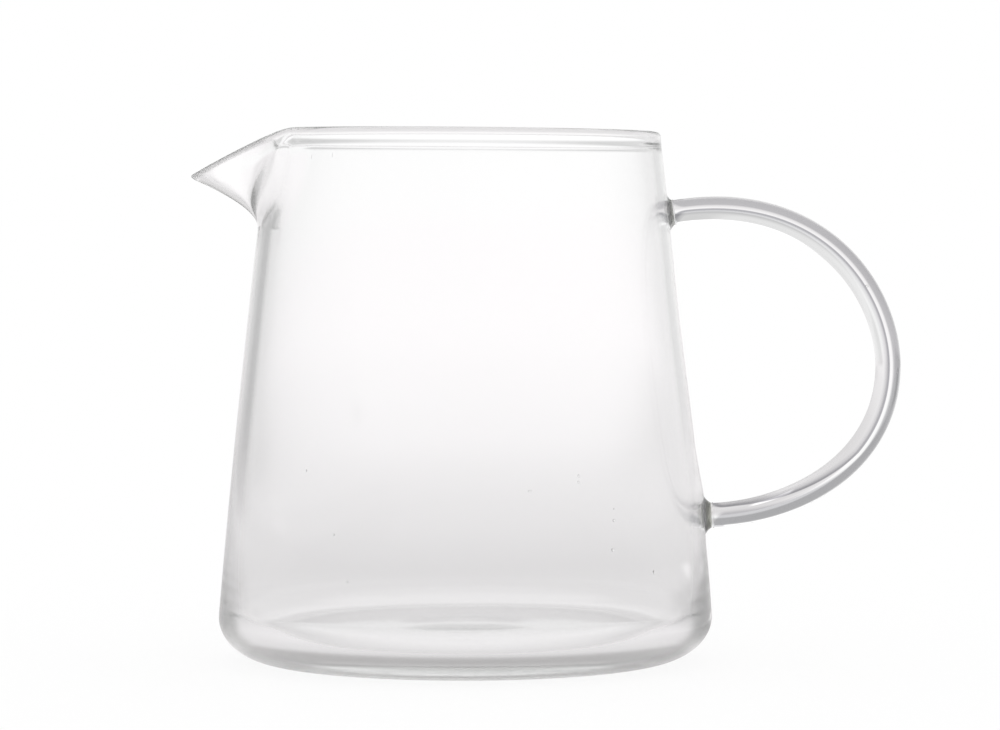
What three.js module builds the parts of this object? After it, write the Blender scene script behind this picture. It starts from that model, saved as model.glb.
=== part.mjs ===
// Clear glass pitcher: a blown vessel with a spout drawn out of its rim, and a loop handle of
// solid glass rod, fused to the wall at two flared seals. Millimetres, +Z up. The origin is on
// the vessel's axis, in the plane it stands on. The spout points along -X, the handle along +X.

import * as THREE from 'three';

const { clamp, degToRad, lerp } = THREE.MathUtils;

// Vessel wall
const rimHeight = 131.4;
const rimRadius = 48.2;          // outside of the wall, carried up to the rim
const bellyRadius = 60.9;        // outside of the wall at the top of the heel
const sideBulge = 0.6;           // how far the side bows out from a straight cone
const wallAtRim = 2.75;
const wallAtHeel = 2.95;
const heelGather = 1.6;          // glass that gathers in the wall on top of that, low down
const gatherHeight = 12.5;       // height over which the gather falls off

// Heel and floor
const heelWidth = 13.8;
const heelHeight = 11.5;
const floorThickness = 5.7;
const floorRadius = 48.4;        // where the floor inside starts to turn up into the wall
const innerHeelHeight = 7.8;
const crownRadius = 21;          // faint dome that blowing leaves in the middle of the floor
const crownRise = 0.6;

// Fire-polished rim bead
const beadWidth = 3.2;
const beadHeight = 5.6;
const beadOutset = 0.35;         // how far the bead stands proud of the wall outside

// Spout, drawn out of the rim and folded over
const spoutReach = 68;           // axis to the tip of the lip
const spoutDrop = 12.1;          // rim to the tip of the lip
const spoutDepth = 25;           // height of wall below the rim that is drawn out
const spoutBend = 5.2;           // height over which the wall turns into the spout's keel
const lipHalfAngle = degToRad(28.5);
const rootHalfAngle = degToRad(13);
const tipRounding = 0.16;        // how blunt the tip of the lip is, as a share of its half angle
const tipThinning = 0.6;         // share of the wall that drawing out takes away at the tip

// Handle rod
const rodDiameter = 6.3;
const rodEndDiameter = 6;
const rodTaper = 22;             // length over which each end is drawn down
const handleReach = 104.75;      // axis to the rod's centre line at its farthest
const handleReachHeight = 72.7;
const upperJointDrop = 20.8;     // rim to the upper joint on the wall
const upperRise = degToRad(8.6);
const upperLead = 33.5;          // how far the loop keeps the direction it leaves the wall in
const upperFall = 18.3;
const lowerJointHeight = 35.7;
const lowerRise = degToRad(2.8);
const lowerLead = 21.8;
const lowerFall = 22.5;

// Seals between the rod and the wall
const upperSealLength = 3.5;
const upperSealFoot = 8.8;       // diameter on the wall
const lowerSealLength = 3;
const lowerSealFoot = 9.3;
const clearance = 0.3;           // gap that stands for each fused face

// Fineness of the surfaces
const meridians = 84;
const spoutCrowding = 0.5;       // how much closer the meridians stand at the spout
const rodSides = 16;
const rodSteps = 36;
const roundness = 0.5523;        // lead of a cubic curve that draws a quarter ellipse

const spoutRoot = rimHeight - spoutDepth;
const upperJointHeight = rimHeight - upperJointDrop;

// Share of the way from the heel, 0, to the rim, 1.
function sideShare(z) {
  return (z - heelHeight) / (rimHeight - heelHeight);
}

// Outside radius of the wall: a straight cone with a shallow bow.
function sideRadius(z) {
  const u = sideShare(z);
  return lerp(bellyRadius, rimRadius, u) + 4 * sideBulge * u * (1 - u);
}

// How fast that radius changes with height.
function sideSlope(z) {
  return (rimRadius - bellyRadius + 4 * sideBulge * (1 - 2 * sideShare(z))) / (rimHeight - heelHeight);
}

// Inside radius: the wall thins evenly upwards, on top of a gather that falls off above the heel.
function innerRadius(z) {
  const gather = heelGather * Math.exp((heelHeight - z) / gatherHeight);
  return sideRadius(z) - lerp(wallAtHeel, wallAtRim, sideShare(z)) - gather;
}

// Points of the wall from one height to another, without the first.
function wallPoints(radiusAt, from, to, steps) {
  return Array.from({ length: steps }, (_, i) => {
    const z = lerp(from, to, (i + 1) / steps);
    return new THREE.Vector2(radiusAt(z), z);
  });
}

// Points of a curve without the first.
function curvePoints(curve, steps) {
  return curve.getPoints(steps).slice(1);
}

function cubic(...corners) {
  return new THREE.CubicBezierCurve(...corners.map(([r, z]) => new THREE.Vector2(r, z)));
}

// Half section of the vessel, from the middle of the underside, up the outside, over the rim and
// down the inside to the middle of the floor.
function vesselSection() {
  const footRadius = bellyRadius - heelWidth;
  const heelLead = roundness * heelHeight;
  const heel = cubic(
    [footRadius, 0],
    [footRadius + roundness * heelWidth, 0],
    [bellyRadius - heelLead * sideSlope(heelHeight), heelHeight - heelLead],
    [bellyRadius, heelHeight],
  );

  const beadFoot = rimHeight - beadHeight;
  const beadRadius = beadWidth / 2;
  const beadMiddle = rimHeight - beadRadius;
  const beadCentre = rimRadius + beadOutset - beadRadius;
  const beadBend = (beadMiddle - beadFoot) / 2;
  const swellOut = cubic(
    [sideRadius(beadFoot), beadFoot],
    [sideRadius(beadFoot + beadBend), beadFoot + beadBend],
    [beadCentre + beadRadius, beadMiddle - beadBend],
    [beadCentre + beadRadius, beadMiddle],
  );
  const overRim = new THREE.EllipseCurve(beadCentre, beadMiddle, beadRadius, beadRadius, 0, Math.PI);
  const swellIn = cubic(
    [beadCentre - beadRadius, beadMiddle],
    [beadCentre - beadRadius, beadMiddle - beadBend],
    [innerRadius(beadFoot + beadBend), beadFoot + beadBend],
    [innerRadius(beadFoot), beadFoot],
  );

  const innerHeelTop = floorThickness + innerHeelHeight;
  const innerBelly = innerRadius(innerHeelTop);
  const innerSlope = innerRadius(innerHeelTop + 1) - innerBelly;
  const innerLead = roundness * innerHeelHeight;
  const innerHeel = cubic(
    [innerBelly, innerHeelTop],
    [innerBelly - innerLead * innerSlope, innerHeelTop - innerLead],
    [lerp(floorRadius, innerBelly, roundness), floorThickness],
    [floorRadius, floorThickness],
  );
  const crown = cubic(
    [crownRadius, floorThickness],
    [crownRadius / 2, floorThickness],
    [crownRadius / 2, floorThickness + crownRise],
    [0, floorThickness + crownRise],
  );

  return [
    new THREE.Vector2(0, 0),
    new THREE.Vector2(footRadius, 0),
    ...curvePoints(heel, 6),
    ...wallPoints(sideRadius, heelHeight, spoutRoot, 3),
    ...wallPoints(sideRadius, spoutRoot, beadFoot, 6),
    ...curvePoints(swellOut, 2),
    ...curvePoints(overRim, 8),
    ...curvePoints(swellIn, 2),
    ...wallPoints(innerRadius, beadFoot, spoutRoot, 6),
    ...wallPoints(innerRadius, spoutRoot, innerHeelTop, 7),
    ...curvePoints(innerHeel, 5),
    new THREE.Vector2(crownRadius, floorThickness),
    ...curvePoints(crown, 4),
  ];
}

// Outside of the spout along its middle, from the wall out to the tip of the lip.
function spoutKeel() {
  const root = new THREE.Vector2(sideRadius(spoutRoot), spoutRoot);
  const bend = new THREE.Vector2(root.x + spoutBend * sideSlope(spoutRoot), spoutRoot + spoutBend);
  const tip = new THREE.Vector2(spoutReach, rimHeight - spoutDrop);
  return new THREE.QuadraticBezierCurve(root, bend, tip);
}

// How far the glass follows the keel at an angle off it: all of the way at 0, with straight flanks
// that meet in a blunt point, and not at all past the half angle. The half angle opens quickly
// above the root, so that the channel's sides stand steep under the lip.
function spoutShare(azimuth, rise) {
  const opened = 1 - (1 - rise) ** 4;
  const across = Math.min(1, Math.abs(azimuth) / lerp(rootHalfAngle, lipHalfAngle, opened));
  const flank = Math.hypot(across, tipRounding) - tipRounding;
  const whole = Math.hypot(1, tipRounding) - tipRounding;
  return (1 - flank / whole) ** 2;
}

// Draws the spout out of the round vessel. A point keeps its depth in the wall, thinned a little,
// and moves towards the keel at its own share of the rise.
function drawSpout(geometry) {
  const keel = spoutKeel();
  const point = new THREE.Vector3();
  const position = geometry.attributes.position;
  for (let i = 0; i < position.count; i++) {
    point.fromBufferAttribute(position, i);
    const even = Math.atan2(point.y, -point.x);
    const azimuth = even - spoutCrowding * Math.sin(even);
    const section = new THREE.Vector2(Math.hypot(point.x, point.y), point.z);
    const rise = clamp((point.z - spoutRoot) / spoutDepth, 0, 1);
    if (rise > 0) {
      const share = spoutShare(azimuth, rise);
      const depth = (section.x - sideRadius(point.z)) * (1 - tipThinning * Math.sqrt(share));
      const along = keel.getTangent(rise);
      const drawn = keel.getPoint(rise).addScaledVector(new THREE.Vector2(along.y, -along.x), depth);
      section.lerp(drawn, share);
    }
    position.setXYZ(i, -section.x * Math.cos(azimuth), section.x * Math.sin(azimuth), section.y);
  }
  return geometry;
}

// A solid of revolution about +Z.
function turn(section, sides) {
  return new THREE.LatheGeometry(section, sides).rotateX(Math.PI / 2);
}

// One end of the handle: where it meets the wall, which way it leaves, and the seal there.
function joint(height, rise, sealLength, sealFoot) {
  const wall = new THREE.Vector3(sideRadius(height), 0, height);
  const outward = new THREE.Vector3(Math.cos(rise), 0, Math.sin(rise));
  const rodStart = wall.clone().addScaledVector(outward, sealLength + 2 * clearance);
  return { wall, outward, rodStart, sealLength, sealFoot };
}

const upperJoint = joint(upperJointHeight, upperRise, upperSealLength, upperSealFoot);
const lowerJoint = joint(lowerJointHeight, lowerRise, lowerSealLength, lowerSealFoot);

// Centre line of the handle: out from the upper joint, round its farthest point and back in.
function handleLine() {
  const far = new THREE.Vector3(handleReach, 0, handleReachHeight);
  const lead = (end, distance) => end.rodStart.clone().addScaledVector(end.outward, distance);
  const offset = (distance) => far.clone().setZ(far.z + distance);
  const line = new THREE.CurvePath();
  line.add(new THREE.CubicBezierCurve3(
    upperJoint.rodStart, lead(upperJoint, upperLead), offset(upperFall), far));
  line.add(new THREE.CubicBezierCurve3(
    far, offset(-lowerFall), lead(lowerJoint, lowerLead), lowerJoint.rodStart));
  return line;
}

// The rod is turned straight along +Z, with its ends drawn down, and then bent to the centre line.
function handleRod() {
  const line = handleLine();
  const length = line.getLength();
  const section = [new THREE.Vector2(0, 0)];
  for (let i = 0; i <= rodSteps; i++) {
    const along = (length * i) / rodSteps;
    const ease = THREE.MathUtils.smoothstep(Math.min(along, length - along), 0, rodTaper);
    section.push(new THREE.Vector2(lerp(rodEndDiameter, rodDiameter, ease) / 2, along));
  }
  section.push(new THREE.Vector2(0, length));

  const geometry = turn(section, rodSides);
  const position = geometry.attributes.position;
  const across = new THREE.Vector3(0, 1, 0);
  for (let i = 0; i < position.count; i++) {
    const share = clamp(position.getZ(i) / length, 0, 1);
    const outward = new THREE.Vector3().crossVectors(line.getTangentAt(share), across);
    const bent = line.getPointAt(share);
    bent.addScaledVector(outward, -position.getX(i)).addScaledVector(across, position.getY(i));
    position.setXYZ(i, bent.x, bent.y, bent.z);
  }
  return geometry;
}

// A seal flares from the rod to its foot, and the foot follows the curve of the wall.
function seal({ wall, outward, sealLength, sealFoot }) {
  const flareSteps = 5;
  const section = [new THREE.Vector2(0, 0), new THREE.Vector2(sealFoot / 4, 0)];
  for (let i = 0; i <= flareSteps; i++) {
    const share = i / flareSteps;
    const diameter = lerp(rodEndDiameter, sealFoot, (1 - share) ** 2);
    section.push(new THREE.Vector2(diameter / 2, sealLength * share));
  }
  section.push(new THREE.Vector2(0, sealLength));

  const geometry = turn(section, rodSides);
  const position = geometry.attributes.position;
  const across = new THREE.Vector3(0, 1, 0);
  const up = new THREE.Vector3().crossVectors(outward, across);
  for (let i = 0; i < position.count; i++) {
    const along = position.getZ(i);
    const foot = wall.clone();
    foot.addScaledVector(up, -position.getX(i)).addScaledVector(across, position.getY(i));
    const wallHere = Math.sqrt(sideRadius(foot.z) ** 2 - foot.y ** 2);
    const square = clearance * outward.x;
    const bow = (wallHere + clearance - square - foot.x) * (1 - along / sealLength);
    const place = foot.addScaledVector(outward, along + clearance);
    position.setXYZ(i, place.x + bow, place.y, place.z);
  }
  return geometry;
}

function clearGlass() {
  return new THREE.MeshStandardMaterial({
    color: 0xe6ecea,
    roughness: 0.03,
    metalness: 0,
    transparent: true,
    opacity: 0.35,
  });
}

function piece(name, geometry) {
  const mesh = new THREE.Mesh(geometry, clearGlass());
  mesh.name = name;
  return mesh;
}

const pitcher = new THREE.Group();
pitcher.add(
  piece('vessel', drawSpout(turn(vesselSection(), meridians))),
  piece('handle_rod', handleRod()),
  piece('upper_handle_seal', seal(upperJoint)),
  piece('lower_handle_seal', seal(lowerJoint)),
);

export default pitcher;
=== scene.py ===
# %% [markdown]
# # A clear glass pitcher
# The pitcher is a blown vessel with a spout drawn out of its rim, and a loop handle of solid glass
# rod that is fused on at two flared seals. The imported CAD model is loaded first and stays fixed: it
# gives the size and place of each piece. What follows makes finer surfaces for the same four pieces
# and a few seeds in the glass, then the glass itself, and then the studio that it bends into view.

# %% Frame
import math

import bpy
import numpy as np
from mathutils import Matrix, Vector


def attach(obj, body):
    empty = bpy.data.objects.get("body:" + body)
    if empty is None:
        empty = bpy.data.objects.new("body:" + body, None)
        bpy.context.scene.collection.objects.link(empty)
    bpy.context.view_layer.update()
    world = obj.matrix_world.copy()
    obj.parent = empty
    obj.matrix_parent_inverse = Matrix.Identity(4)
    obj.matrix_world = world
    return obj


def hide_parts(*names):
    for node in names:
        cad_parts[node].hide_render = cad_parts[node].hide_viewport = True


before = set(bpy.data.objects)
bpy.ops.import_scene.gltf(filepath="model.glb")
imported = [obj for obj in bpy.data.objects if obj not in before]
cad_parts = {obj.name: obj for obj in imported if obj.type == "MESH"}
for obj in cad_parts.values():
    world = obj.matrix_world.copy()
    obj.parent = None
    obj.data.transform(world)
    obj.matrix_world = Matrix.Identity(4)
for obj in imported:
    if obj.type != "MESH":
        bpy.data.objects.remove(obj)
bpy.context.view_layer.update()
MM = 0.001

# %% [markdown]
# ## Camera
# The photograph seems to be taken from the side, about a metre away, with the eye a little below the
# rim: the rim's lines bow upwards and the floor shows as a flat ellipse. A long lens at that distance
# gives the same gentle perspective. The camera looks along +Y and down by two degrees.

# %% Camera
EYE = Vector((8.7, -1028.4, 111.6)) * MM
LOOK_DOWN = math.radians(2.15)
LENS, SENSOR_WIDTH, CLIP_END = 149.65, 36, 100
camera_data = bpy.data.cameras.new("camera")
camera_data.lens = LENS
camera_data.sensor_width = SENSOR_WIDTH
camera_data.clip_end = CLIP_END
camera = bpy.data.objects.new("camera", camera_data)
camera.location = EYE
camera.rotation_euler = (math.pi / 2 - LOOK_DOWN, 0, 0)
bpy.context.scene.collection.objects.link(camera)
bpy.context.scene.camera = camera
bpy.context.scene.view_settings.view_transform = "Standard"
print("camera at", [round(c, 4) for c in camera.location])

# %% [markdown]
# ## The vessel's wall
# The side is a cone that bows out by 0.6 mm, and the wall thins from the heel to the rim.
# Everything else on the vessel hangs on these few curves, so they come first, as functions that take
# a whole array of heights at once.

# %% Wall curves
RIM_HEIGHT, RIM_RADIUS = 131 * MM, 48.2 * MM
HEEL_HEIGHT, BELLY_RADIUS = 11.5 * MM, 60.9 * MM
SIDE_BULGE = 0.6 * MM
WALL_AT_RIM, WALL_AT_HEEL = 2.75 * MM, 2.95 * MM
HEEL_GATHER, GATHER_HEIGHT = 1.6 * MM, 12.5 * MM


def side_share(z):
    """Share of the way from the top of the heel, 0, to the rim, 1."""
    return (z - HEEL_HEIGHT) / (RIM_HEIGHT - HEEL_HEIGHT)


def outside(z):
    """Outer radius: a straight line from belly to rim, plus a bow of 4u(1 - u) times the bulge."""
    u = side_share(z)
    return BELLY_RADIUS + (RIM_RADIUS - BELLY_RADIUS) * u + 4 * SIDE_BULGE * u * (1 - u)


def side_slope(z):
    """How fast the outer radius changes with height."""
    rise = RIM_RADIUS - BELLY_RADIUS + 4 * SIDE_BULGE * (1 - 2 * side_share(z))
    return rise / (RIM_HEIGHT - HEEL_HEIGHT)


def inside(z):
    """Inner radius: the outer one less a wall that thins evenly upwards and gathers at the heel."""
    gather = HEEL_GATHER * np.exp((HEEL_HEIGHT - z) / GATHER_HEIGHT)
    return outside(z) - WALL_AT_HEEL - (WALL_AT_RIM - WALL_AT_HEEL) * side_share(z) - gather


MID_HEIGHT = RIM_HEIGHT / 2
print("wall at mid height in mm:", round((outside(MID_HEIGHT) - inside(MID_HEIGHT)) / MM, 2))

# %% [markdown]
# ## Half section
# A blown and turned vessel is one line spun round an axis. The line starts in the middle of the
# underside, rounds the heel, climbs the side, goes over the fire-polished bead of the rim and comes
# down the inside to a floor with a faint dome in it. Each stretch is a wall curve or a cubic curve
# that leaves its neighbours without a corner, because clear glass shows every kink twice. With leads of
# ROUND times its size, a cubic curve runs like a quarter of an ellipse.

# %% Section of the vessel
HEEL_WIDTH = 13.8 * MM
FLOOR_THICKNESS = 5.7 * MM
FLOOR_RADIUS, INNER_HEEL_HEIGHT = 48.4 * MM, 7.8 * MM
CROWN_RADIUS, CROWN_RISE = 21 * MM, 0.6 * MM
BEAD_WIDTH, BEAD_HEIGHT, BEAD_OUTSET = 3.2 * MM, 5.6 * MM, 0.35 * MM
SPOUT_DEPTH = 24.6 * MM
SPOUT_ROOT = RIM_HEIGHT - SPOUT_DEPTH
ROUND = 0.5523
STEPS = {"underside": 4, "heel": 36, "side": 16, "spout": 40, "swell": 12, "turn": 36, "inner heel": 30,
         "flat": 5, "crown": 16}


def cubic(start, lead_out, lead_in, end, steps):
    """Points of a cubic Bezier curve, without its first: the Bernstein sum of its four corners."""
    t = np.linspace(0, 1, steps + 1)[1:, None]
    corners = np.array([start, lead_out, lead_in, end], float)
    weights = np.hstack([(1 - t) ** 3, 3 * t * (1 - t) ** 2, 3 * t**2 * (1 - t), t**3])
    return weights @ corners


def wall(radius_at, low, high, steps):
    """Points (radius, height) of a wall curve between two heights, without the first."""
    z = np.linspace(low, high, steps + 1)[1:]
    return np.column_stack([radius_at(z), z])


def vessel_section():
    """Stretches of (radius, height) from the middle of the underside round to the middle of the floor."""
    foot = BELLY_RADIUS - HEEL_WIDTH
    lead = ROUND * HEEL_HEIGHT
    heel = cubic((foot, 0), (foot + ROUND * HEEL_WIDTH, 0),
                 (BELLY_RADIUS - lead * side_slope(HEEL_HEIGHT), HEEL_HEIGHT - lead),
                 (BELLY_RADIUS, HEEL_HEIGHT), STEPS["heel"])

    bead_foot = RIM_HEIGHT - BEAD_HEIGHT
    radius = BEAD_WIDTH / 2
    middle, centre = RIM_HEIGHT - radius, RIM_RADIUS + BEAD_OUTSET - radius
    bend = (middle - bead_foot) / 2
    swell_out = cubic((outside(bead_foot), bead_foot), (outside(bead_foot + bend), bead_foot + bend),
                      (centre + radius, middle - bend), (centre + radius, middle), STEPS["swell"])
    turn = np.linspace(0, np.pi, STEPS["turn"] + 1)[1:]
    over = np.column_stack([centre + radius * np.cos(turn), middle + radius * np.sin(turn)])
    swell_in = cubic((centre - radius, middle), (centre - radius, middle - bend),
                     (inside(bead_foot + bend), bead_foot + bend), (inside(bead_foot), bead_foot),
                     STEPS["swell"])

    top = FLOOR_THICKNESS + INNER_HEEL_HEIGHT
    lead = ROUND * INNER_HEEL_HEIGHT
    slope = (inside(top + MM) - inside(top)) / MM
    inner_heel = cubic((inside(top), top), (inside(top) - lead * slope, top - lead),
                       (FLOOR_RADIUS + ROUND * (inside(top) - FLOOR_RADIUS), FLOOR_THICKNESS),
                       (FLOOR_RADIUS, FLOOR_THICKNESS), STEPS["inner heel"])
    flat = np.column_stack([np.linspace(FLOOR_RADIUS, CROWN_RADIUS, STEPS["flat"] + 1)[1:],
                            np.full(STEPS["flat"], FLOOR_THICKNESS)])
    peak = FLOOR_THICKNESS + CROWN_RISE
    crown = cubic((CROWN_RADIUS, FLOOR_THICKNESS), (CROWN_RADIUS / 2, FLOOR_THICKNESS),
                  (CROWN_RADIUS / 2, peak), (0, peak), STEPS["crown"])
    reach = np.linspace(0, foot, STEPS["underside"] + 1)
    underside = np.column_stack([reach, np.zeros_like(reach)])
    outer = [underside, heel, wall(outside, HEEL_HEIGHT, SPOUT_ROOT, STEPS["side"]),
             wall(outside, SPOUT_ROOT, bead_foot, STEPS["spout"]), swell_out]
    inner = [swell_in, wall(inside, bead_foot, SPOUT_ROOT, STEPS["spout"]),
             wall(inside, SPOUT_ROOT, top, STEPS["side"]), inner_heel, flat, crown]
    return np.vstack(outer), over, np.vstack(inner)


outer_line, rim_line, inner_line = vessel_section()
print("section points:", len(outer_line), len(rim_line), len(inner_line))

# %% [markdown]
# ## Drawing the spout
# A spout like this is pulled out and down from the hot rim with a tool. Sculpting would do it, but a
# formula keeps the wall's thickness: a line, the keel, runs from the wall out to the tip of the lip,
# and every point of the round wall near it moves towards its own place on that keel. The share it
# moves by is 1 on the keel and falls to 0 at the spout's edge, which is narrow low down and wide at
# the rim.

# %% Spout
SPOUT_REACH, SPOUT_DROP, SPOUT_BEND = 68 * MM, 12.1 * MM, 5.2 * MM
LIP_HALF_ANGLE, ROOT_HALF_ANGLE = math.radians(28.5), math.radians(13)
TIP_ROUNDING, TIP_THINNING = 0.16, 0.6


def spout_share(angle, rise):
    """(1 - flank) squared, where flank runs straight from 0 on the keel, with a blunted point, to 1.

    Flank is 1 at the spout's edge, whose angle opens from root to lip by 1 - (1 - rise) to the fourth.
    """
    opened = 1 - (1 - rise) ** 4
    half_angle = ROOT_HALF_ANGLE + (LIP_HALF_ANGLE - ROOT_HALF_ANGLE) * opened
    across = np.minimum(1, np.abs(angle) / half_angle)
    flank = (np.hypot(across, TIP_ROUNDING) - TIP_ROUNDING) / (np.hypot(1, TIP_ROUNDING) - TIP_ROUNDING)
    return (1 - flank) ** 2


def draw_spout(r, z, angle):
    """Moves (r, z) towards a quadratic curve, the keel, keeping each point's depth in the wall."""
    rise = np.clip((z - SPOUT_ROOT) / SPOUT_DEPTH, 0, 1)
    share = np.where(rise > 0, spout_share(angle, rise), 0)
    root = np.array([outside(SPOUT_ROOT), SPOUT_ROOT])
    bend = root + SPOUT_BEND * np.array([side_slope(SPOUT_ROOT), 1])
    tip = np.array([SPOUT_REACH, RIM_HEIGHT - SPOUT_DROP])
    t = rise[..., None]
    keel = (1 - t) ** 2 * root + 2 * t * (1 - t) * bend + t**2 * tip
    along = (1 - t) * (bend - root) + t * (tip - bend)
    along /= np.linalg.norm(along, axis=-1, keepdims=True)
    depth = (r - outside(z)) * (1 - TIP_THINNING * np.sqrt(share))
    return (r + share * (keel[..., 0] + along[..., 1] * depth - r),
            z + share * (keel[..., 1] - along[..., 0] * depth - z))


keel_tip = draw_spout(outside(RIM_HEIGHT), RIM_HEIGHT, np.array(0.0))
print("keel tip in mm:", [round(float(c) / MM, 1) for c in keel_tip])

# %% [markdown]
# ## From a grid to a mesh
# Each piece is a grid of points: rows follow a section, columns go round. The first and last rows are
# single points, where the grid closes in a fan of triangles. Blender only needs the points and lists
# of corners, and numpy makes both without a loop. Edges sharper than 40 degrees stay crisp. A piece may
# also be several such grids side by side, as the seeds are.

# %% Grid to mesh
CREASE = math.radians(40)


def grid_piece(name, points, **numbers):
    """Closed meshes in one piece, from points[row, column] or points[grid, row, column].

    The first and last rows of a grid are each one point. Each of numbers is an array of the same rows and
    columns, kept on the mesh under its name for the material to read.
    """
    grids = points.reshape(-1, *points.shape[-3:])
    count, rows, columns = grids.shape[:3]
    inner = (rows - 2) * columns
    between_poles = grids[:, 1:-1].reshape(count, inner, 3)
    vertices = np.concatenate([grids[:, 0, :1], between_poles, grids[:, -1, :1]], axis=1).reshape(-1, 3)
    first = (inner + 2) * np.arange(count)[:, None, None] + np.zeros((1, 1, columns), int)
    ring = first + 1 + np.arange(inner).reshape(rows - 2, columns)
    beside = np.roll(ring, -1, axis=2)
    quads = np.stack([ring[:, :-1], ring[:, 1:], beside[:, 1:], beside[:, :-1]], -1).reshape(-1, 4)
    first_fan = np.stack([first, ring[:, :1], beside[:, :1]], -1).reshape(-1, 3)
    last_fan = np.stack([first + inner + 1, beside[:, -1:], ring[:, -1:]], -1).reshape(-1, 3)
    mesh = bpy.data.meshes.new(name)
    mesh.from_pydata(vertices.tolist(), [], first_fan.tolist() + quads.tolist() + last_fan.tolist())
    mesh.polygons.foreach_set("use_smooth", np.ones(len(mesh.polygons), bool))
    mesh.set_sharp_from_angle(angle=CREASE)
    for kept, table in numbers.items():
        values = np.concatenate([table[:1, 0], table[1:-1].ravel(), table[-1:, 0]])
        mesh.attributes.new(kept, "FLOAT", "POINT").data.foreach_set("value", values)
    piece = bpy.data.objects.new(name, mesh)
    bpy.context.scene.collection.objects.link(piece)
    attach(piece, "root")
    print(name, len(vertices), "points,", len(mesh.polygons), "faces")
    return piece


# %% [markdown]
# ## Vessel
# The columns stand closer at the spout, where the form turns fastest. A blown wall is never even all
# round: in the photograph the bright band of the cut wall is wider on the spout's side than at the
# handle, so the inside is shifted towards the handle. The outline on the handle's side is also out of
# true by up to a millimetre, most of all round the lower seal, as happens when a handle is fused on.
# The mesh keeps three numbers for its glass: where grey bands of painted shade run, where edges get painted
# shade and where the lip is dull.

# %% Vessel piece
COLUMNS, CROWDING = 360, 0.4
INSIDE_SHIFT, HEEL_SHIFT = 0.35 * MM, -0.35 * MM
RIM_TILT = 0.0085
SWELL, SWELL_AT, SWELL_WIDTH = 0.42 * MM, 22 * MM, 16 * MM
HOLLOW, HOLLOW_AT, HOLLOW_WIDTH = 0.62 * MM, 88 * MM, 24 * MM
PULL, PULL_AT, PULL_HEIGHT, PULL_WIDTH = 0.85 * MM, 41 * MM, 7 * MM, 9 * MM


def hump(distance, width):
    """Bell curve: e to the power of minus the square of distance over width."""
    return np.exp(-((distance / width) ** 2))


def eased(value, low, high):
    """0 below low, 1 above high, and a smooth step between."""
    t = np.clip((value - low) / (high - low), 0, 1)
    return t * t * (3 - 2 * t)


def pulled(z, y):
    """How far the handle's side stands out, as a sum of bell curves.

    A swell low down and a hollow higher up fade round the side. A pull at the lower seal ends sooner.
    """
    swell = SWELL * hump(z - SWELL_AT, SWELL_WIDTH) - HOLLOW * hump(z - HOLLOW_AT, HOLLOW_WIDTH)
    round_the_side = np.clip(1 - (y / outside(z)) ** 2, 0, 1)
    pull = PULL * hump(z - PULL_AT, PULL_HEIGHT) * hump(y, PULL_WIDTH)
    return swell * round_the_side + pull


def out_of_true(x, y, z):
    """Points of the even form, with the handle's side pulled out and the rim tilted up at the spout.

    The tilt is in proportion to x, and grows with the fourth power of the height.
    """
    x = x + np.where(x > 0, pulled(z, y), 0)
    return np.stack([x, y, z - RIM_TILT * x * np.clip(z / RIM_HEIGHT, 0, 1) ** 4], -1)


def vessel_points():
    """The section spun round the axis, the handle's side first, with the spout drawn out.

    The inside is shifted along x, by an amount that fades with the fourth power of the way down the side.
    """
    section = np.vstack([outer_line, rim_line, inner_line])
    shift = np.concatenate([np.zeros(len(outer_line)), np.linspace(0, 1, len(rim_line)),
                            np.ones(len(inner_line))])
    even = np.linspace(-np.pi, np.pi, COLUMNS, endpoint=False)
    angle = even - CROWDING * np.sin(even)
    r, z = (np.repeat(c[:, None], COLUMNS, axis=1) for c in section.T)
    off_axis = shift[:, None] * (INSIDE_SHIFT + HEEL_SHIFT * np.clip(1 - side_share(z), 0, 1) ** 4)
    r, z = draw_spout(r, z, angle[None, :])
    return out_of_true(-r * np.cos(angle) + off_axis, r * np.sin(angle), z)


points = vessel_points()
print("vessel grid:", points.shape)

# %% Numbers for the vessel's glass
# Painted shade on the vessel's outside: a band round the heel, one along the keel, and edges seen at a
# slant.
HEEL_SHADE_STARTS, HEEL_SHADE_ENDS = (2.8 * MM, 3.8 * MM), (6.2 * MM, 7.4 * MM)
KEEL_DRAWN, KEEL_HALF_WIDTH = (0.4 * MM, 2 * MM), (1.6 * MM, 3.2 * MM)
EDGE_SHADE_ENDS = (12 * MM, 26 * MM)
PAINTED_SHADE_SHARE = 0.8
LIP_DRAWN, LIP_MARGIN = (0.8 * MM, 4 * MM), 4


def outer_painted_shade(points):
    """Two numbers of painted shade, on the outside only: grey bands round the heel and along the keel, and
    grey edges.

    Each is a product of smooth steps: between two heights, out from the round wall, or off the keel.
    """
    x, y, z = np.moveaxis(points, -1, 0)
    outer = (np.arange(len(points)) < len(outer_line))[:, None]
    heel = eased(z, *HEEL_SHADE_STARTS) * (1 - eased(z, *HEEL_SHADE_ENDS))
    drawn = (z > SPOUT_ROOT) * eased(-x - outside(z), *KEEL_DRAWN)
    keel = drawn * (1 - eased(np.abs(y), *KEEL_HALF_WIDTH))
    return outer * np.maximum(PAINTED_SHADE_SHARE * heel, keel), outer * PAINTED_SHADE_SHARE * (1 - eased(z, *EDGE_SHADE_ENDS))


def lip_softness(points):
    """1 on top of the bead where it is drawn out to the lip, eased to 0 where the rim is round again.

    The first and last LIP_MARGIN rows of the turn over the rim are left out.
    """
    row = np.arange(len(points))[:, None]
    bead = (row >= len(outer_line) + LIP_MARGIN) & (row < len(outer_line) + len(rim_line) - LIP_MARGIN)
    drawn = np.hypot(points[..., 0], points[..., 1]) - RIM_RADIUS
    return bead * eased(drawn, *LIP_DRAWN)


band, edge = outer_painted_shade(points)
vessel = grid_piece("vessel_glass", points, band=band, edge=edge, lip=lip_softness(points))
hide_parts("vessel")

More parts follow.
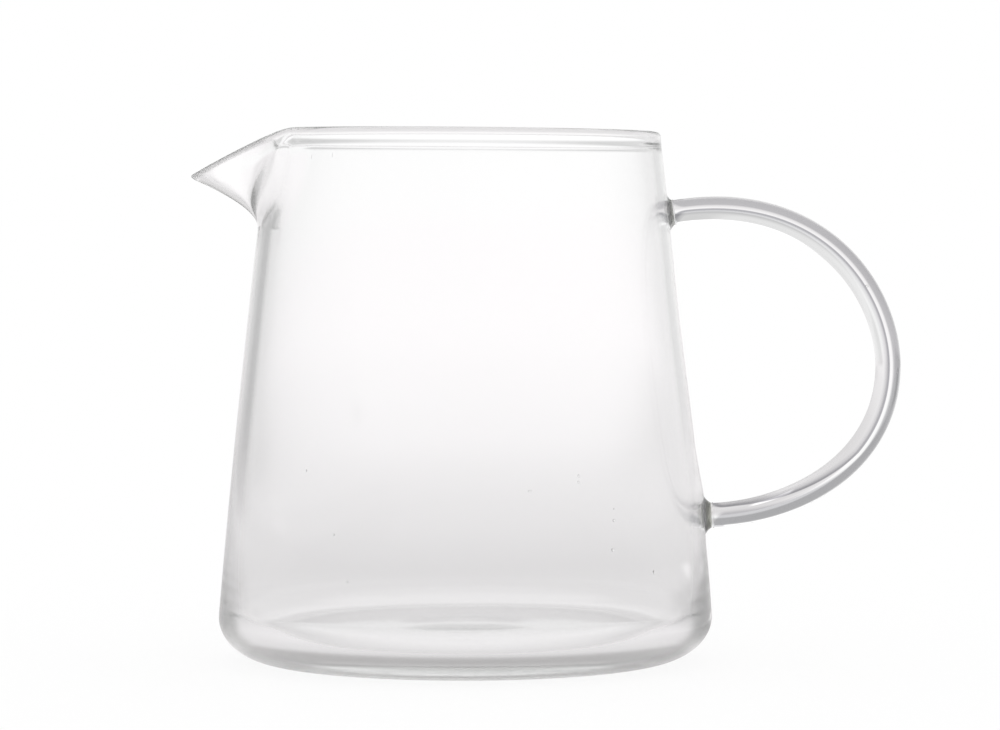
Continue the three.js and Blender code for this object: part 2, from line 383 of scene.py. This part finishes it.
# %% [markdown]
# ## Handle rod
# The handle is a straight rod, heated and bent into a loop. Its centre line is two cubic curves in
# the plane y = 0, and a circle is carried along it. Blender's curve bevel would do the same; a grid
# lets the ends be drawn down to the size they have where they are fused on. FUSE is the sum of the two
# gaps that the CAD model leaves at a seal, which are closed here.

# %% Handle rod
ROD_DIAMETER, ROD_END_DIAMETER, ROD_TAPER = 6.3 * MM, 6 * MM, 22 * MM
REACH, REACH_HEIGHT = 104.75 * MM, 72.7 * MM
UPPER = {"height": RIM_HEIGHT - 20.4 * MM, "rise": math.radians(8.6), "lead": 36.3 * MM, "fall": 18.3 * MM,
         "seal": 1.1 * MM, "foot": 9.4 * MM}
LOWER = {"height": 35.7 * MM, "rise": math.radians(2.8), "lead": 22.2 * MM, "fall": -22.5 * MM,
         "seal": 1.9 * MM, "foot": 10 * MM}
FUSE, SINK = 0.6 * MM, 0.1 * MM
LOOP_STEPS = 200
BELL, BELL_SHARE = 3 * MM, 0.35
CORE, UNDER_SHIFT = 0.155, 0.685
UNDER_FROM, UNDER_FULL = math.radians(50), math.radians(8)


def way_out(joint):
    """Direction, as (x, z), in which the handle leaves the wall at a joint."""
    return np.array([math.cos(joint["rise"]), math.sin(joint["rise"])])


def on_wall(joint):
    """The point (x, z) of the wall that a joint is centred on."""
    return np.array([outside(joint["height"]) + pulled(joint["height"], 0), joint["height"]])


def half_loop(joint, steps):
    """Cubic curve from a joint's seal to the farthest point of the loop, where it runs straight up."""
    start = on_wall(joint) + way_out(joint) * (joint["seal"] + FUSE)
    far = np.array([REACH, REACH_HEIGHT])
    curve = cubic(start, start + way_out(joint) * joint["lead"], far + [0, joint["fall"]], far, steps)
    inwards = start - way_out(joint) * (FUSE / 2 + SINK)
    return np.vstack([inwards, start, curve])


def centre_line():
    """Points (x, z) of the whole loop, from the upper seal round to the lower one."""
    return np.vstack([half_loop(UPPER, LOOP_STEPS), half_loop(LOWER, LOOP_STEPS)[-2::-1]])


def rod_points(sides=64, steps=300):
    """Rings round the centre line that thin out at each end, and where each point lies on the skin, for the
    painted shade.

    The place on the skin is the cosine of the angle from the loop's outer side, with the clear core at
    CORE. It is drawn towards the core near a seal. Along the bottom, as the rod levels out, the core
    moves up.
    """
    line = centre_line()
    travelled = np.concatenate([[0], np.cumsum(np.linalg.norm(np.diff(line, axis=0), axis=1))])
    s = np.linspace(0, travelled[-1], steps)
    x, z = (np.interp(s, travelled, c) for c in line.T)
    tangent = np.column_stack([np.gradient(x, s), np.gradient(z, s)])
    tangent /= np.linalg.norm(tangent, axis=1, keepdims=True)
    from_end = np.minimum(s, s[-1] - s)
    radius = (ROD_END_DIAMETER + (ROD_DIAMETER - ROD_END_DIAMETER) * eased(from_end, 0, ROD_TAPER)) / 2
    turn = np.linspace(0, 2 * np.pi, sides, endpoint=False)
    out = radius[:, None] * np.cos(turn)
    rings = np.stack([x[:, None] - tangent[:, 1:] * out, radius[:, None] * np.sin(turn),
                      z[:, None] + tangent[:, :1] * out], -1)
    ends = np.column_stack([x, np.zeros(steps), z])[[0, -1]]
    caps = np.repeat(ends[:, None, :], sides, axis=1)
    opening = BELL_SHARE + (1 - BELL_SHARE) * eased(from_end, 0, BELL)
    slope = np.arctan2(np.abs(tangent[:, 1]), -tangent[:, 0])
    under = np.clip((UNDER_FROM - slope) / (UNDER_FROM - UNDER_FULL), 0, 1)
    shift = UNDER_SHIFT * under[:, None]
    skin = np.cos(turn) + shift * np.minimum(1, (1 - np.cos(turn)) / (1 - CORE + shift))
    skin = CORE + (skin - CORE) * opening[:, None]
    return np.vstack([caps[:1], rings, caps[1:]]), np.vstack([skin[:1], skin, skin[-1:]])


points, skin = rod_points()
rod = grid_piece("handle_rod_glass", points, skin=skin)
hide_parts("handle_rod")

# %% [markdown]
# ## Seals
# Where the rod is fused on, the soft glass flares against the wall. A seal is a short turned piece
# whose radius grows with the square of the way to the wall, and its foot follows the wall's curve. The
# foot sinks a tenth of a millimetre into the wall, and the rod as far into the seal: a gap of air there
# would turn into a mirror.

# %% Seals
SEAM, FOOT_SEAM, END_SEAM = 0.35 * MM, 0.1, 0.12


def seal_points(joint, sides=64, steps=60):
    """A turned flare with a small bead at each seam, and each foot point slid onto the round wall."""
    along = np.concatenate([[0], np.linspace(0, 1, steps), [1]])
    radius = ROD_END_DIAMETER + (joint["foot"] - ROD_END_DIAMETER) * (1 - along) ** 2
    radius += SEAM * (hump(along, FOOT_SEAM) + hump(1 - along, END_SEAM))
    radius[[0, -1]] = 0
    turn = np.linspace(0, 2 * np.pi, sides, endpoint=False)
    across = radius[:, None] / 2 * np.sin(turn)
    up = radius[:, None] / 2 * np.cos(turn)
    way, base = way_out(joint), on_wall(joint)
    foot_x, foot_z = base[0] - up * way[1], base[1] + up * way[0]
    bow = np.sqrt(outside(foot_z) ** 2 - across**2) + pulled(foot_z, across) - SINK - foot_x
    reach = along[:, None] * (joint["seal"] + FUSE / 2)
    x = foot_x + way[0] * reach + bow * (1 - along[:, None])
    return np.stack([x, across, foot_z + way[1] * reach], -1), np.repeat(along[:, None], sides, axis=1)


points, skin = seal_points(UPPER)
upper_seal = grid_piece("upper_seal_glass", points, skin=skin)
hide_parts("upper_handle_seal")
points, skin = seal_points(LOWER)
lower_seal = grid_piece("lower_seal_glass", points, skin=skin)
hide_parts("lower_handle_seal")

# %% [markdown]
# ## Seeds
# Blown glass carries a few seeds, tiny bubbles and stones that show as faint specks on the front of the
# wall and in the rod, and two short scratches under the rim. Bubbles could be hollows inside the wall;
# a flat blister, half sunk into the glass that carries it, shows the same speck from any side. All of
# them are one mesh. Each row gives a place across and up, half a width and half a height.

# %% Seeds
WALL_SEEDS = np.array([
    (27.3, 48.7, 0.35, 0.4), (27.2, 47.3, 0.3, 0.35), (15.7, 45.5, 0.45, 0.3), (35.4, 31, 0.6, 0.45),
    (35.7, 40.6, 0.3, 0.25), (35.7, 37.9, 0.5, 0.35), (-27.3, 23.9, 0.35, 0.3), (-37.3, 49.5, 0.3, 0.35),
    (-30.7, 34.8, 0.5, 0.3), (45.2, 25, 0.45, 0.5), (-31.2, 124.2, 0.12, 0.6), (-36.4, 123.8, 0.12, 0.5),
]) * MM
ROD_SEEDS = np.array([(99.2, 92.6, 0.4, 0.35), (106.7, 71.1, 0.3, 0.3)]) * MM
SEED_RISE = 0.35


def seat_on_wall(x, z):
    """Point on the front of the wall at a width and a height, and the way out of the glass there."""
    y = -np.sqrt(outside(z) ** 2 - x**2)
    return out_of_true(x, y, z), np.stack([x / outside(z), y / outside(z), -side_slope(z)], -1)


def seat_on_rod(x, z):
    """Point on the front of the rod, over the nearest point of its centre line, and the way out there."""
    line = centre_line()
    nearest = line[np.argmin((x[:, None] - line[:, 0]) ** 2 + (z[:, None] - line[:, 1]) ** 2, axis=1)]
    off_x, off_z = x - nearest[:, 0], z - nearest[:, 1]
    y = -np.sqrt((ROD_DIAMETER / 2) ** 2 - off_x**2 - off_z**2)
    return np.stack([x, y, z], -1), np.stack([off_x, y, off_z], -1)


def seed_points(rows=11, columns=20):
    """Ellipsoids: the sine and cosine of two angles, scaled along the surface, up it and out of it."""
    (on_glass, wall_out), (on_rod, rod_out) = seat_on_wall(*WALL_SEEDS.T[:2]), seat_on_rod(*ROD_SEEDS.T[:2])
    middle, out = np.vstack([on_glass, on_rod]), np.vstack([wall_out, rod_out])
    sizes = np.vstack([WALL_SEEDS, ROD_SEEDS])[:, 2:]
    out /= np.linalg.norm(out, axis=1, keepdims=True)
    across = np.cross([0, 0, 1], out)
    across /= np.linalg.norm(across, axis=1, keepdims=True)
    axes = np.stack([across * sizes[:, :1], np.cross(out, across) * sizes[:, 1:],
                     out * SEED_RISE * sizes.min(axis=1, keepdims=True)], 1)
    tilt = np.linspace(0, np.pi, rows)[:, None]
    turn = np.linspace(0, 2 * np.pi, columns, endpoint=False)
    ball = np.stack([np.sin(tilt) * np.cos(turn), -np.sin(tilt) * np.sin(turn),
                     -np.cos(tilt) + 0 * turn], -1)
    return middle[:, None, None] + np.einsum("rca,nab->nrcb", ball, axes)


seeds = grid_piece("seeds_glass", seed_points())

# %% [markdown]
# ## Sums in shaders
# Glass, table and studio are built from small nodes that add, multiply, blend or look up a grey. Set
# one by one they would bury the sums, so a few functions do it: each adds a node, feeds it with
# numbers, colours or other nodes' outputs, and hands back its result.

# %% Shader sums
WHITE = (1, 1, 1)
DEGREES = 180 / math.pi
MIX_SOCKETS = {"FLOAT": (0, 2, 3, 0), "RGBA": (0, 6, 7, 2)}


def put(node, values):
    """Sets inputs of a node by their names, and hands the node back."""
    for name, value in values.items():
        node.inputs[name].default_value = value
    return node


def feed(tree, socket, value):
    """Sets a socket to a number or a colour, or links another node's output to it."""
    if isinstance(value, bpy.types.NodeSocket):
        tree.links.new(value, socket)
    else:
        socket.default_value = (*value, 1) if isinstance(value, tuple) else value


def shaded(tree, operation, *values):
    """A math node on numbers or other nodes' outputs, and its result."""
    node = tree.nodes.new("ShaderNodeMath")
    node.operation = operation
    for socket, value in zip(node.inputs, values):
        feed(tree, socket, value)
    return node.outputs[0]


def share_of(tree, value, low, high, easing="LINEAR"):
    """0 up to low, 1 from high on, and a straight line or a smooth step between."""
    node = put(tree.nodes.new("ShaderNodeMapRange"), {"From Min": low, "From Max": high})
    node.interpolation_type = easing
    feed(tree, node.inputs["Value"], value)
    return node.outputs["Result"]


def step_up(tree, value, low, high):
    """Eases from 0 to 1 while the value goes from low to high."""
    return share_of(tree, value, low, high, "SMOOTHSTEP")


def between(tree, value, low, high, soft):
    """1 from low to high, eased to 0 over a soft edge on both sides."""
    rising, falling = (step_up(tree, value, at - soft / 2, at + soft / 2) for at in (low, high))
    return shaded(tree, "SUBTRACT", rising, falling)


def ramp(tree, value, stops):
    """A colour ramp over the range of its stops, given as (value, grey) or (value, colour)."""
    low, high = stops[0][0], stops[-1][0]
    node = tree.nodes.new("ShaderNodeValToRGB")
    elements = node.color_ramp.elements
    places = [(at - low) / (high - low) for at, tone in stops]
    elements[0].position, elements[1].position = places[0], places[-1]
    for place in places[1:-1]:
        elements.new(place)
    for element, (at, tone) in zip(elements, stops):
        element.color = (*tone, 1) if isinstance(tone, tuple) else (tone, tone, tone, 1)
    feed(tree, node.inputs["Fac"], share_of(tree, value, low, high))
    return node.outputs["Color"]


def blend(tree, share, first, second, kind="FLOAT"):
    """first at share 0, second at share 1: numbers or, if the kind is RGBA, colours."""
    node = tree.nodes.new("ShaderNodeMix")
    node.data_type = kind
    *places, result = MIX_SOCKETS[kind]
    for place, value in zip(places, (share, first, second)):
        feed(tree, node.inputs[place], value)
    return node.outputs[result]


def coordinates(tree, kind):
    """Outputs x, y and z of one kind of texture coordinates."""
    split = tree.nodes.new("ShaderNodeSeparateXYZ")
    tree.links.new(tree.nodes.new("ShaderNodeTexCoord").outputs[kind], split.inputs[0])
    return split.outputs


def length(tree, across, up):
    """Root of the sum of two squares."""
    squares = [shaded(tree, "MULTIPLY", value, value) for value in (across, up)]
    return shaded(tree, "SQRT", shaded(tree, "ADD", *squares))


def bearing(tree, x, y):
    """Angle in degrees from +Y, growing towards +X."""
    return shaded(tree, "MULTIPLY", shaded(tree, "ARCTAN2", x, y), DEGREES)


# %% [markdown]
# ## Clear glass
# Glass has no colour of its own on the surface: what shows is what lies behind it, bent. The index of
# refraction does the bending, and a thin grey absorption in the volume darkens the long ways through
# the wall's edge and the heel. Blown glass is also slightly wavy, so a low noise bends the surface a
# little, and a trace of roughness softens what is mirrored many times inside the wall. The edge of the
# lip is given a duller finish, which keeps it from turning black. On top of that, the vessel's outside
# gets a grey tint of painted shade where light enters: bands round the heel and along the keel, and
# edges seen at a slant.

# %% Glass
GLASS_IOR = 1.47
WAVE_STRETCH = (1, 1, 0.35)


def clear_glass(name, absorption, wave_size, wave_height, roughness):
    """Principled glass with a wavy bump on Object coordinates and an even absorption inside.

    absorption is a colour and, as its fourth number, a density.
    """
    material = bpy.data.materials.new(name)
    material.use_nodes = True
    nodes, links = material.node_tree.nodes, material.node_tree.links
    surface = put(nodes["Principled BSDF"], {"Base Color": (*WHITE, 1), "Roughness": roughness,
                                             "IOR": GLASS_IOR, "Transmission Weight": 1})
    stretch = put(nodes.new("ShaderNodeMapping"), {"Scale": WAVE_STRETCH})
    waves = put(nodes.new("ShaderNodeTexNoise"), {"Scale": 1 / wave_size, "Detail": 1})
    bump = put(nodes.new("ShaderNodeBump"), {"Strength": 1, "Distance": wave_height})
    links.new(nodes.new("ShaderNodeTexCoord").outputs["Object"], stretch.inputs["Vector"])
    links.new(stretch.outputs["Vector"], waves.inputs["Vector"])
    links.new(waves.outputs["Fac"], bump.inputs["Height"])
    links.new(bump.outputs["Normal"], surface.inputs["Normal"])
    *colour, density = absorption
    volume = put(nodes.new("ShaderNodeVolumeAbsorption"), {"Color": (*colour, 1), "Density": density})
    links.new(volume.outputs["Volume"], nodes["Material Output"].inputs["Volume"])
    return material


def kept_number(tree, name):
    """Output of a number that is kept on the mesh."""
    number = tree.nodes.new("ShaderNodeAttribute")
    number.attribute_name = name
    return number.outputs["Fac"]


def on_the_way_in(tree, tint):
    """Feeds Base Color with a tint where light enters, and with clear white where it leaves."""
    leaving = tree.nodes.new("ShaderNodeNewGeometry").outputs["Backfacing"]
    one_way = blend(tree, leaving, tint, WHITE, "RGBA")
    feed(tree, tree.nodes["Principled BSDF"].inputs["Base Color"], one_way)


def painted_shade_tint(tree, grey, low, high):
    """Painted shade, a tint from clear to grey: the whole of the band, and the edge as far as it is seen at
    a slant.
    """
    slant = step_up(tree, tree.nodes.new("ShaderNodeLayerWeight").outputs["Facing"], low, high)
    edge = shaded(tree, "MULTIPLY", slant, kept_number(tree, "edge"))
    either = shaded(tree, "MAXIMUM", edge, kept_number(tree, "band"))
    on_the_way_in(tree, blend(tree, either, WHITE, grey, "RGBA"))


def dull_lip(tree, rise):
    """Roughness grows by the given rise on the lip."""
    rough = tree.nodes["Principled BSDF"].inputs["Roughness"]
    feed(tree, rough, shaded(tree, "MULTIPLY_ADD", kept_number(tree, "lip"), rise, rough.default_value))


vessel_glass = clear_glass("vessel_clear_glass", absorption=(0.905, 0.907, 0.905, 22), wave_size=14 * MM,
                           wave_height=0.02 * MM, roughness=0.06)
# Painted shade on the heel band, the keel and edges seen at a slant.
painted_shade_tint(vessel_glass.node_tree, grey=(0.36, 0.36, 0.35), low=0.56, high=0.7)
dull_lip(vessel_glass.node_tree, rise=0.48)
vessel.data.materials.append(vessel_glass)
seeds.data.materials.append(vessel_glass)
print("vessel glass:", [m.name for m in vessel.data.materials])

# %% [markdown]
# ## Glass of the handle and its seals
# In the photograph the rod's outer side is grey, and a fine grey line runs beside a clear core. On a
# real rod much of that is dark cards bent into view. Here a tint on the skin paints it in as painted
# shade: each point of the rod's mesh carries its place on the skin, and a colour ramp turns that into a
# tint, on the way in only. Near a seal the clear part opens like a trumpet. The seals get an olive-grey
# ring of painted shade between two clear seams, and there the number is the share of the way from the
# wall.

# %% Tints of the handle
# Greys of painted shade for the rod, and the olive-grey painted shade of the seals' rings.
CLEAR, OUTER_SHADE, LINE_SHADE, PALE_SHADE = WHITE, (0.39, 0.39, 0.41), (0.19, 0.19, 0.21), (0.6, 0.6, 0.62)
ROD_SHADES = [(-0.42, CLEAR), (-0.2, PALE_SHADE), (-0.05, LINE_SHADE), (0.03, LINE_SHADE), (0.09, CLEAR), (0.25, CLEAR),
             (0.38, OUTER_SHADE), (0.85, OUTER_SHADE), (0.97, CLEAR)]
UPPER_RING_SHADE, LOWER_RING_SHADE = (0.5, 0.505, 0.47), (0.26, 0.27, 0.22)


def painted_shade_by_skin(tree, stops):
    """Painted shade, a tint from a colour ramp over the mesh's skin number."""
    on_the_way_in(tree, ramp(tree, kept_number(tree, "skin"), stops))


rod_glass = clear_glass("rod_clear_glass", absorption=(0.905, 0.905, 0.908, 60), wave_size=9 * MM,
                        wave_height=0.01 * MM, roughness=0.03)
# Painted shade on the rod, from its place on the skin.
painted_shade_by_skin(rod_glass.node_tree, ROD_SHADES)
rod.data.materials.append(rod_glass)

# Each seal gets an olive-grey ring of painted shade between two clear seams.
for seal, ring in ((upper_seal, UPPER_RING_SHADE), (lower_seal, LOWER_RING_SHADE)):
    seal_glass = clear_glass(seal.name.replace("glass", "clear_glass"), absorption=(0.9, 0.9, 0.88, 30),
                             wave_size=3 * MM, wave_height=0.03 * MM, roughness=0.04)
    painted_shade_by_skin(seal_glass.node_tree, [(0.16, CLEAR), (0.26, ring), (0.7, ring), (0.8, CLEAR)])
    seal.data.materials.append(seal_glass)
print("materials:", [m.name for m in bpy.data.materials])

# %% [markdown]
# ## Studio
# Clear glass is photographed against a bright field: a white window straight behind it, and grey
# cards round it, which the edges of the glass and the rod of the handle bend into view as dark bands.
# Pale ones on the right and darker ones on the left give the two sides of a rod different greys. The
# lists give greys by bearing, in degrees from straight behind, and are fitted by comparing renders with
# the photograph. The world holds that studio for the rays that have passed through glass or bounced off
# it. The camera sees plain white, and everything else is lit by an even white sky.

# %% Surroundings
HORIZON = [(-180, 0.95), (-90, 0.95), (-60, 0.85), (-44, 0.78), (-37, 0.52), (-29, 0.48), (-24, 0.7),
           (-17, 0.76), (-13, 0.93), (-9, 0.99), (-4, 1.04), (4, 1.04), (8, 1.03), (12, 0.95), (17, 0.95),
           (21, 0.9), (25, 0.76), (32, 0.76), (38, 0.82), (50, 0.86), (75, 1.0), (180, 0.95)]
LOW_CARDS = [(-180, 0.9), (-60, 0.8), (-20, 0.62), (-8, 0.66), (4, 0.66), (9, 0.68), (20, 0.86),
             (40, 0.85), (90, 1.0), (180, 0.9)]
CEILING_LEFT, CEILING_RIGHT, OVERHEAD = 0.66, 0.8, 1.5
CEILING_SPLIT = (2, 7)
LOW_CARDS_FROM, CEILING_FROM, OVERHEAD_FROM = (5, 9), (9, 22), (40, 54)


def seen_in_glass(tree):
    """1 for rays that glass has bent or reflected on their way from the camera, else 0.

    Depth is a whole number, so a half parts none from some.
    """
    path = tree.nodes.new("ShaderNodeLightPath")
    by_glass = shaded(tree, "ADD", path.outputs["Is Glossy Ray"], path.outputs["Is Transmission Ray"])
    unscattered = shaded(tree, "LESS_THAN", path.outputs["Diffuse Depth"], 0.5)
    return shaded(tree, "MULTIPLY", shaded(tree, "MINIMUM", by_glass, 1), unscattered)


def surroundings(tree, side, height):
    """Grey of the studio at a bearing and an elevation, both in degrees."""
    ceiling = blend(tree, step_up(tree, side, *CEILING_SPLIT), CEILING_LEFT, CEILING_RIGHT)
    ceiling = blend(tree, step_up(tree, height, *OVERHEAD_FROM), ceiling, OVERHEAD)
    horizon, low_cards = (ramp(tree, side, greys) for greys in (HORIZON, LOW_CARDS))
    cards = blend(tree, step_up(tree, height, *LOW_CARDS_FROM), horizon, low_cards)
    return blend(tree, step_up(tree, height, *CEILING_FROM), cards, ceiling)


world = bpy.data.worlds.new("studio")
bpy.context.scene.world = world
world.use_nodes = True
tree = world.node_tree
x, y, z = coordinates(tree, "Generated")
height = shaded(tree, "MULTIPLY", shaded(tree, "ARCSINE", z), DEGREES)
studio = surroundings(tree, bearing(tree, x, y), height)
feed(tree, tree.nodes["Background"].inputs["Color"], blend(tree, seen_in_glass(tree), 1.0, studio))
print("world nodes:", len(tree.nodes))

# %% [markdown]
# ## Floor
# The pitcher stands on a pale table that runs back to the white window. Seen directly it is plain
# white with the object's faint shadow. Through the glass it shows painted shadow: greyer close by than
# far off, which gives the body its tone that fades upwards, darker on the far half under the foot, and
# darkest right under the heel, where little light gets in. Two small areas on the right, a painted lit
# strip and a painted shaded patch, are what the handle bends into view. Farther off the table takes on
# the greys of the cards. Lengths are in metres.

# %% Greys of the floor
# Rings of painted shadow round the foot, darkest under the heel.
TABLE = [(0, 1.0), (0.042, 0.97), (0.046, 0.76), (0.048, 0.66), (0.051, 0.66), (0.053, 0.9), (0.056, 0.95),
         (0.062, 0.8), (0.09, 0.76), (0.16, 0.73), (0.33, 0.79), (0.9, 0.96), (1.4, 1.0), (2.5, 1.03)]
WIDTH_SHARE, NEAR_HALF, RINGS_END = 0.97, (-0.012, 0.008), (0.062, 0.075)
# Painted shade on the far half under the foot, and a painted lit strip and a painted shaded patch beside
# it.
FAR_HALF_SHADE, FAR_SHADE_FROM, FOOT_RADIUS = 0.58, (-0.01, 0.02), 0.046
LIT_STRIP, STRIP_X, STRIP_Y = 1.2, (0.086, 0.104, 0.004), (0.086, 0.132, 0.015)
BESIDE, BESIDE_X, BESIDE_Y = 0.74, (0.065, 0.091, 0.012), (-0.06, 0.066, 0.03)
TABLE_SIDES = [(-180, 0.75), (-90, 0.75), (-60, 0.66), (-40, 0.63), (-16, 0.72), (-12, 0.87), (-8, 0.94),
               (-4, 1.0), (5, 1.0), (7, 0.93), (9, 0.84), (14, 0.84), (18, 0.9), (40, 0.88), (55, 0.8),
               (90, 0.85), (180, 0.75)]
SIDES_FROM, HORIZON_FROM = (0.4, 1.0), (1.6, 3.0)


def table_grey(tree):
    """Grey of the table by its place: rings of painted shadow at the foot, painted shade on the far half
    under the foot, a painted lit strip and a painted shaded patch beside it, the cards farther off.

    The rings go by distance from the axis. In their near half, x counts only by WIDTH_SHARE.
    """
    x, y = coordinates(tree, "Object")[:2]
    distance, side = length(tree, x, y), bearing(tree, x, y)
    flat = shaded(tree, "MULTIPLY", x, blend(tree, step_up(tree, y, *NEAR_HALF), WIDTH_SHARE, 1.0))
    ringed = blend(tree, step_up(tree, distance, *RINGS_END), length(tree, flat, y), distance)
    under_foot = shaded(tree, "LESS_THAN", distance, FOOT_RADIUS)
    shaded_far_half = shaded(tree, "MULTIPLY", step_up(tree, y, *FAR_SHADE_FROM), under_foot)
    grey = shaded(tree, "MULTIPLY", ramp(tree, ringed, TABLE), blend(tree, shaded_far_half, 1.0, FAR_HALF_SHADE))
    strip = shaded(tree, "MULTIPLY", between(tree, x, *STRIP_X), between(tree, y, *STRIP_Y))
    beside = shaded(tree, "MULTIPLY", between(tree, x, *BESIDE_X), between(tree, y, *BESIDE_Y))
    grey = shaded(tree, "MULTIPLY", grey, blend(tree, beside, 1.0, BESIDE))
    grey = blend(tree, strip, grey, LIT_STRIP)
    sided = shaded(tree, "MULTIPLY", grey, ramp(tree, side, TABLE_SIDES))
    sided = blend(tree, step_up(tree, distance, *HORIZON_FROM), sided, ramp(tree, side, HORIZON))
    return blend(tree, step_up(tree, distance, *SIDES_FROM), grey, sided)


# %% Floor
FLOOR_HALF, FLOOR_DROP = 30.0, 0.3 * MM


def table_floor():
    """A large square just under the foot, whose look depends only on where it lies."""
    mesh = bpy.data.meshes.new("floor")
    corners = np.array([(-1, -1, 0), (1, -1, 0), (1, 1, 0), (-1, 1, 0)]) * FLOOR_HALF - [0, 0, FLOOR_DROP]
    mesh.from_pydata(corners.tolist(), [], [(0, 1, 2, 3)])
    floor = bpy.data.objects.new("floor", mesh)
    bpy.context.scene.collection.objects.link(floor)
    return floor


floor = table_floor()
print("floor:", len(floor.data.vertices), "corners")

# %% Floor seen directly and in glass
SHADOW_SHARE = 0.1
TABLE_COLOUR = (1, 0.984, 0.992)


def emission(tree, colour, strength):
    """Light of one colour and a plain or computed strength."""
    node = tree.nodes.new("ShaderNodeEmission")
    feed(tree, node.inputs["Color"], colour)
    feed(tree, node.inputs["Strength"], strength)
    return node


def mixed(tree, share, first, second):
    """Mix of two shaders."""
    node = tree.nodes.new("ShaderNodeMixShader")
    for socket, value in zip(node.inputs, (share, first.outputs[0], second.outputs[0])):
        feed(tree, socket, value)
    return node


paper = bpy.data.materials.new("white_table")
paper.use_nodes = True
tree = paper.node_tree
matt = put(tree.nodes["Principled BSDF"], {"Base Color": (*WHITE, 1), "Roughness": 1,
                                           "Specular IOR Level": 0})
direct = mixed(tree, SHADOW_SHARE, emission(tree, WHITE, 1.0), matt)
whole = mixed(tree, seen_in_glass(tree), direct, emission(tree, TABLE_COLOUR, table_grey(tree)))
tree.links.new(whole.outputs[0], tree.nodes["Material Output"].inputs["Surface"])
floor.data.materials.append(paper)
print("floor nodes:", len(tree.nodes))

# %% Light bounces
BOUNCES = 300
cycles = bpy.context.scene.cycles
cycles.max_bounces = BOUNCES
cycles.transmission_bounces = BOUNCES
cycles.glossy_bounces = BOUNCES
